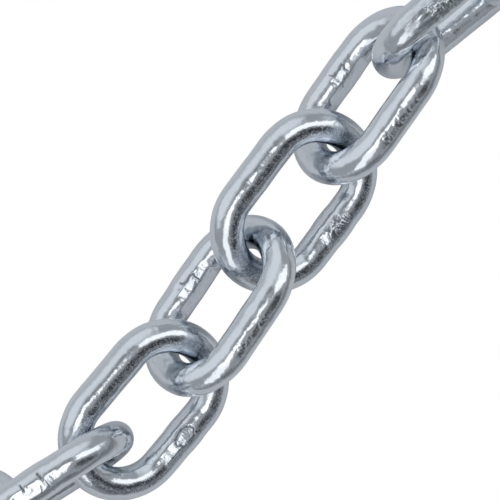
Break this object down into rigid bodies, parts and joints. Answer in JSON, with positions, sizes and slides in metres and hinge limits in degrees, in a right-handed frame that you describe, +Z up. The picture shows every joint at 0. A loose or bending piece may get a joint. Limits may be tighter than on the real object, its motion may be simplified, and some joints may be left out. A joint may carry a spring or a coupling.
{
  "type": "steel link chain",
  "caption": "Length of bright zinc-plated round-wire chain with welded short links, laid out in a gentle curve, each link turned across its neighbours",
  "frame": {"origin": "on the floor under the middle of the laid chain's bounding box", "axes": "+X along the chain's run from link_01 to link_12, +Z up from the floor it lies on, +Y across the run"},
  "size_m": [0.3012, 0.0483, 0.0273],
  "materials": {
    "zinc_plated_steel": "bright zinc plating, faintly blue, pebbled, with rough weld scars"
  },
  "bodies": {
    "link_01": {"link_01": "zinc_plated_steel"},
    "link_02": {"link_02": "zinc_plated_steel"},
    "link_03": {"link_03": "zinc_plated_steel"},
    "link_04": {"link_04": "zinc_plated_steel"},
    "link_05": {"link_05": "zinc_plated_steel"},
    "link_06": {"link_06": "zinc_plated_steel"},
    "link_07": {"link_07": "zinc_plated_steel"},
    "link_08": {"link_08": "zinc_plated_steel"},
    "link_09": {"link_09": "zinc_plated_steel"},
    "link_10": {"link_10": "zinc_plated_steel"},
    "link_11": {"link_11": "zinc_plated_steel"},
    "link_12": {"link_12": "zinc_plated_steel"}
  },
  "joints": [
    {"name": "crossing_01_02", "type": "hinge", "parent": "link_02", "child": "link_01", "pos_m": [-0.11848, 0.00863, 0.00971], "axis": [0, 0, -1], "range_deg": [-16, 14]},
    {"name": "crossing_02_03", "type": "hinge", "parent": "link_03", "child": "link_02", "pos_m": [-0.09453, 0.00896, 0.00865], "axis": [0, 0, -1], "range_deg": [-15, 23]},
    {"name": "crossing_03_04", "type": "hinge", "parent": "link_04", "child": "link_03", "pos_m": [-0.07049, 0.00981, 0.01158], "axis": [0, 0, -1], "range_deg": [-18, 5]},
    {"name": "crossing_04_05", "type": "hinge", "parent": "link_05", "child": "link_04", "pos_m": [-0.04934, -0.00057, 0.01025], "axis": [0, 0, -1], "range_deg": [-6, 23]},
    {"name": "crossing_05_06", "type": "hinge", "parent": "link_06", "child": "link_05", "pos_m": [-0.02504, -0.00396, 0.00928], "axis": [0, 0, -1], "range_deg": [-12, 16]},
    {"name": "crossing_06_07", "type": "hinge", "parent": "link_06", "child": "link_07", "pos_m": [-0.00015, 0.00046, 0.01003], "axis": [0, 0, 1], "range_deg": [-21, 14]},
    {"name": "crossing_07_08", "type": "hinge", "parent": "link_07", "child": "link_08", "pos_m": [0.02448, -0.00286, 0.00931], "axis": [0, 0, 1], "range_deg": [-13, 12]},
    {"name": "crossing_08_09", "type": "hinge", "parent": "link_08", "child": "link_09", "pos_m": [0.049, -0.00262, 0.01204], "axis": [0, 0, 1], "range_deg": [-14, 9]},
    {"name": "crossing_09_10", "type": "hinge", "parent": "link_09", "child": "link_10", "pos_m": [0.07133, -0.00959, 0.01189], "axis": [0, 0, 1], "range_deg": [-21, 4]},
    {"name": "crossing_10_11", "type": "hinge", "parent": "link_10", "child": "link_11", "pos_m": [0.09447, -0.01761, 0.00937], "axis": [0, 0, 1], "range_deg": [-28, 22]},
    {"name": "crossing_11_12", "type": "hinge", "parent": "link_11", "child": "link_12", "pos_m": [0.11878, -0.01194, 0.0095], "axis": [0, 0, 1], "range_deg": [-15, 12]}
  ]
}
